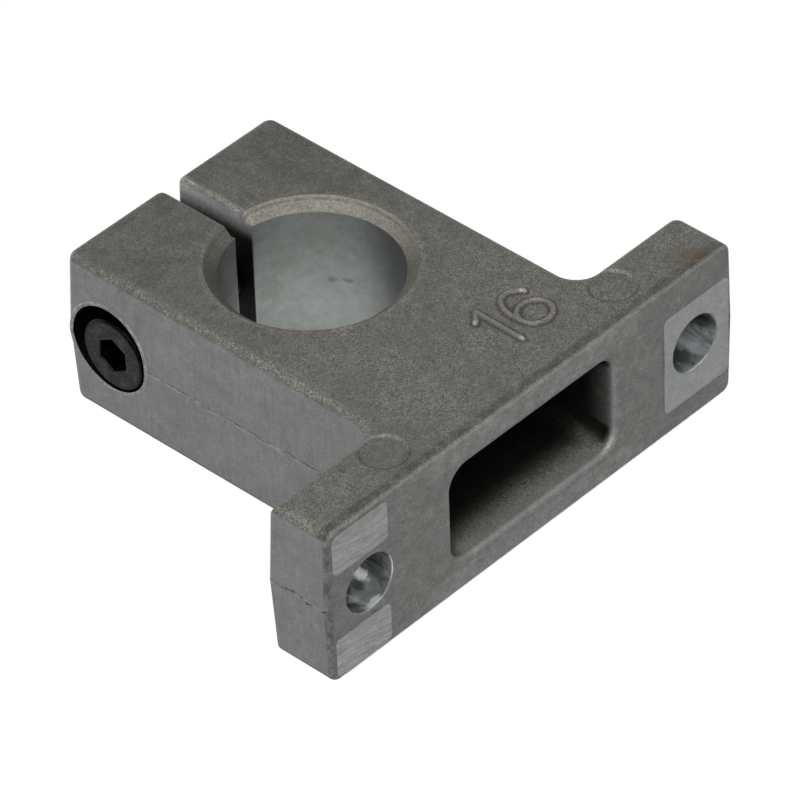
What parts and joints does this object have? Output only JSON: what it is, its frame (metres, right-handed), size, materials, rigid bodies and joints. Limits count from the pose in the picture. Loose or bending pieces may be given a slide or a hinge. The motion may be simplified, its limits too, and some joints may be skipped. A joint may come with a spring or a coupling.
{
  "type": "shaft support block",
  "caption": "Cast foot-mounted block with a split clamp bore that grips the end of a round linear shaft, closed across its ears by a socket head screw.",
  "frame": {"origin": "centre of the mounting face under the foot", "axes": "+Z from the mounting face up through the bore to the clamp ears, +Y along the shaft from the numbered face to the plain face, +X along the foot away from the clamp screw's head"},
  "size_m": [0.05, 0.016, 0.042],
  "materials": {
    "casting": "as cast, tumbled, dull grey",
    "screw": "black oxide"
  },
  "bodies": {
    "block": {"support_block": "casting"},
    "screw": {"clamp_screw": "screw"}
  },
  "joints": [
    {"name": "clamp_screw_turn", "type": "hinge", "parent": "block", "child": "screw", "pos_m": [-0.00855, 0.0006, 0.03665], "axis": [1, 0, 0], "range_deg": [-450, 0]}
  ]
}
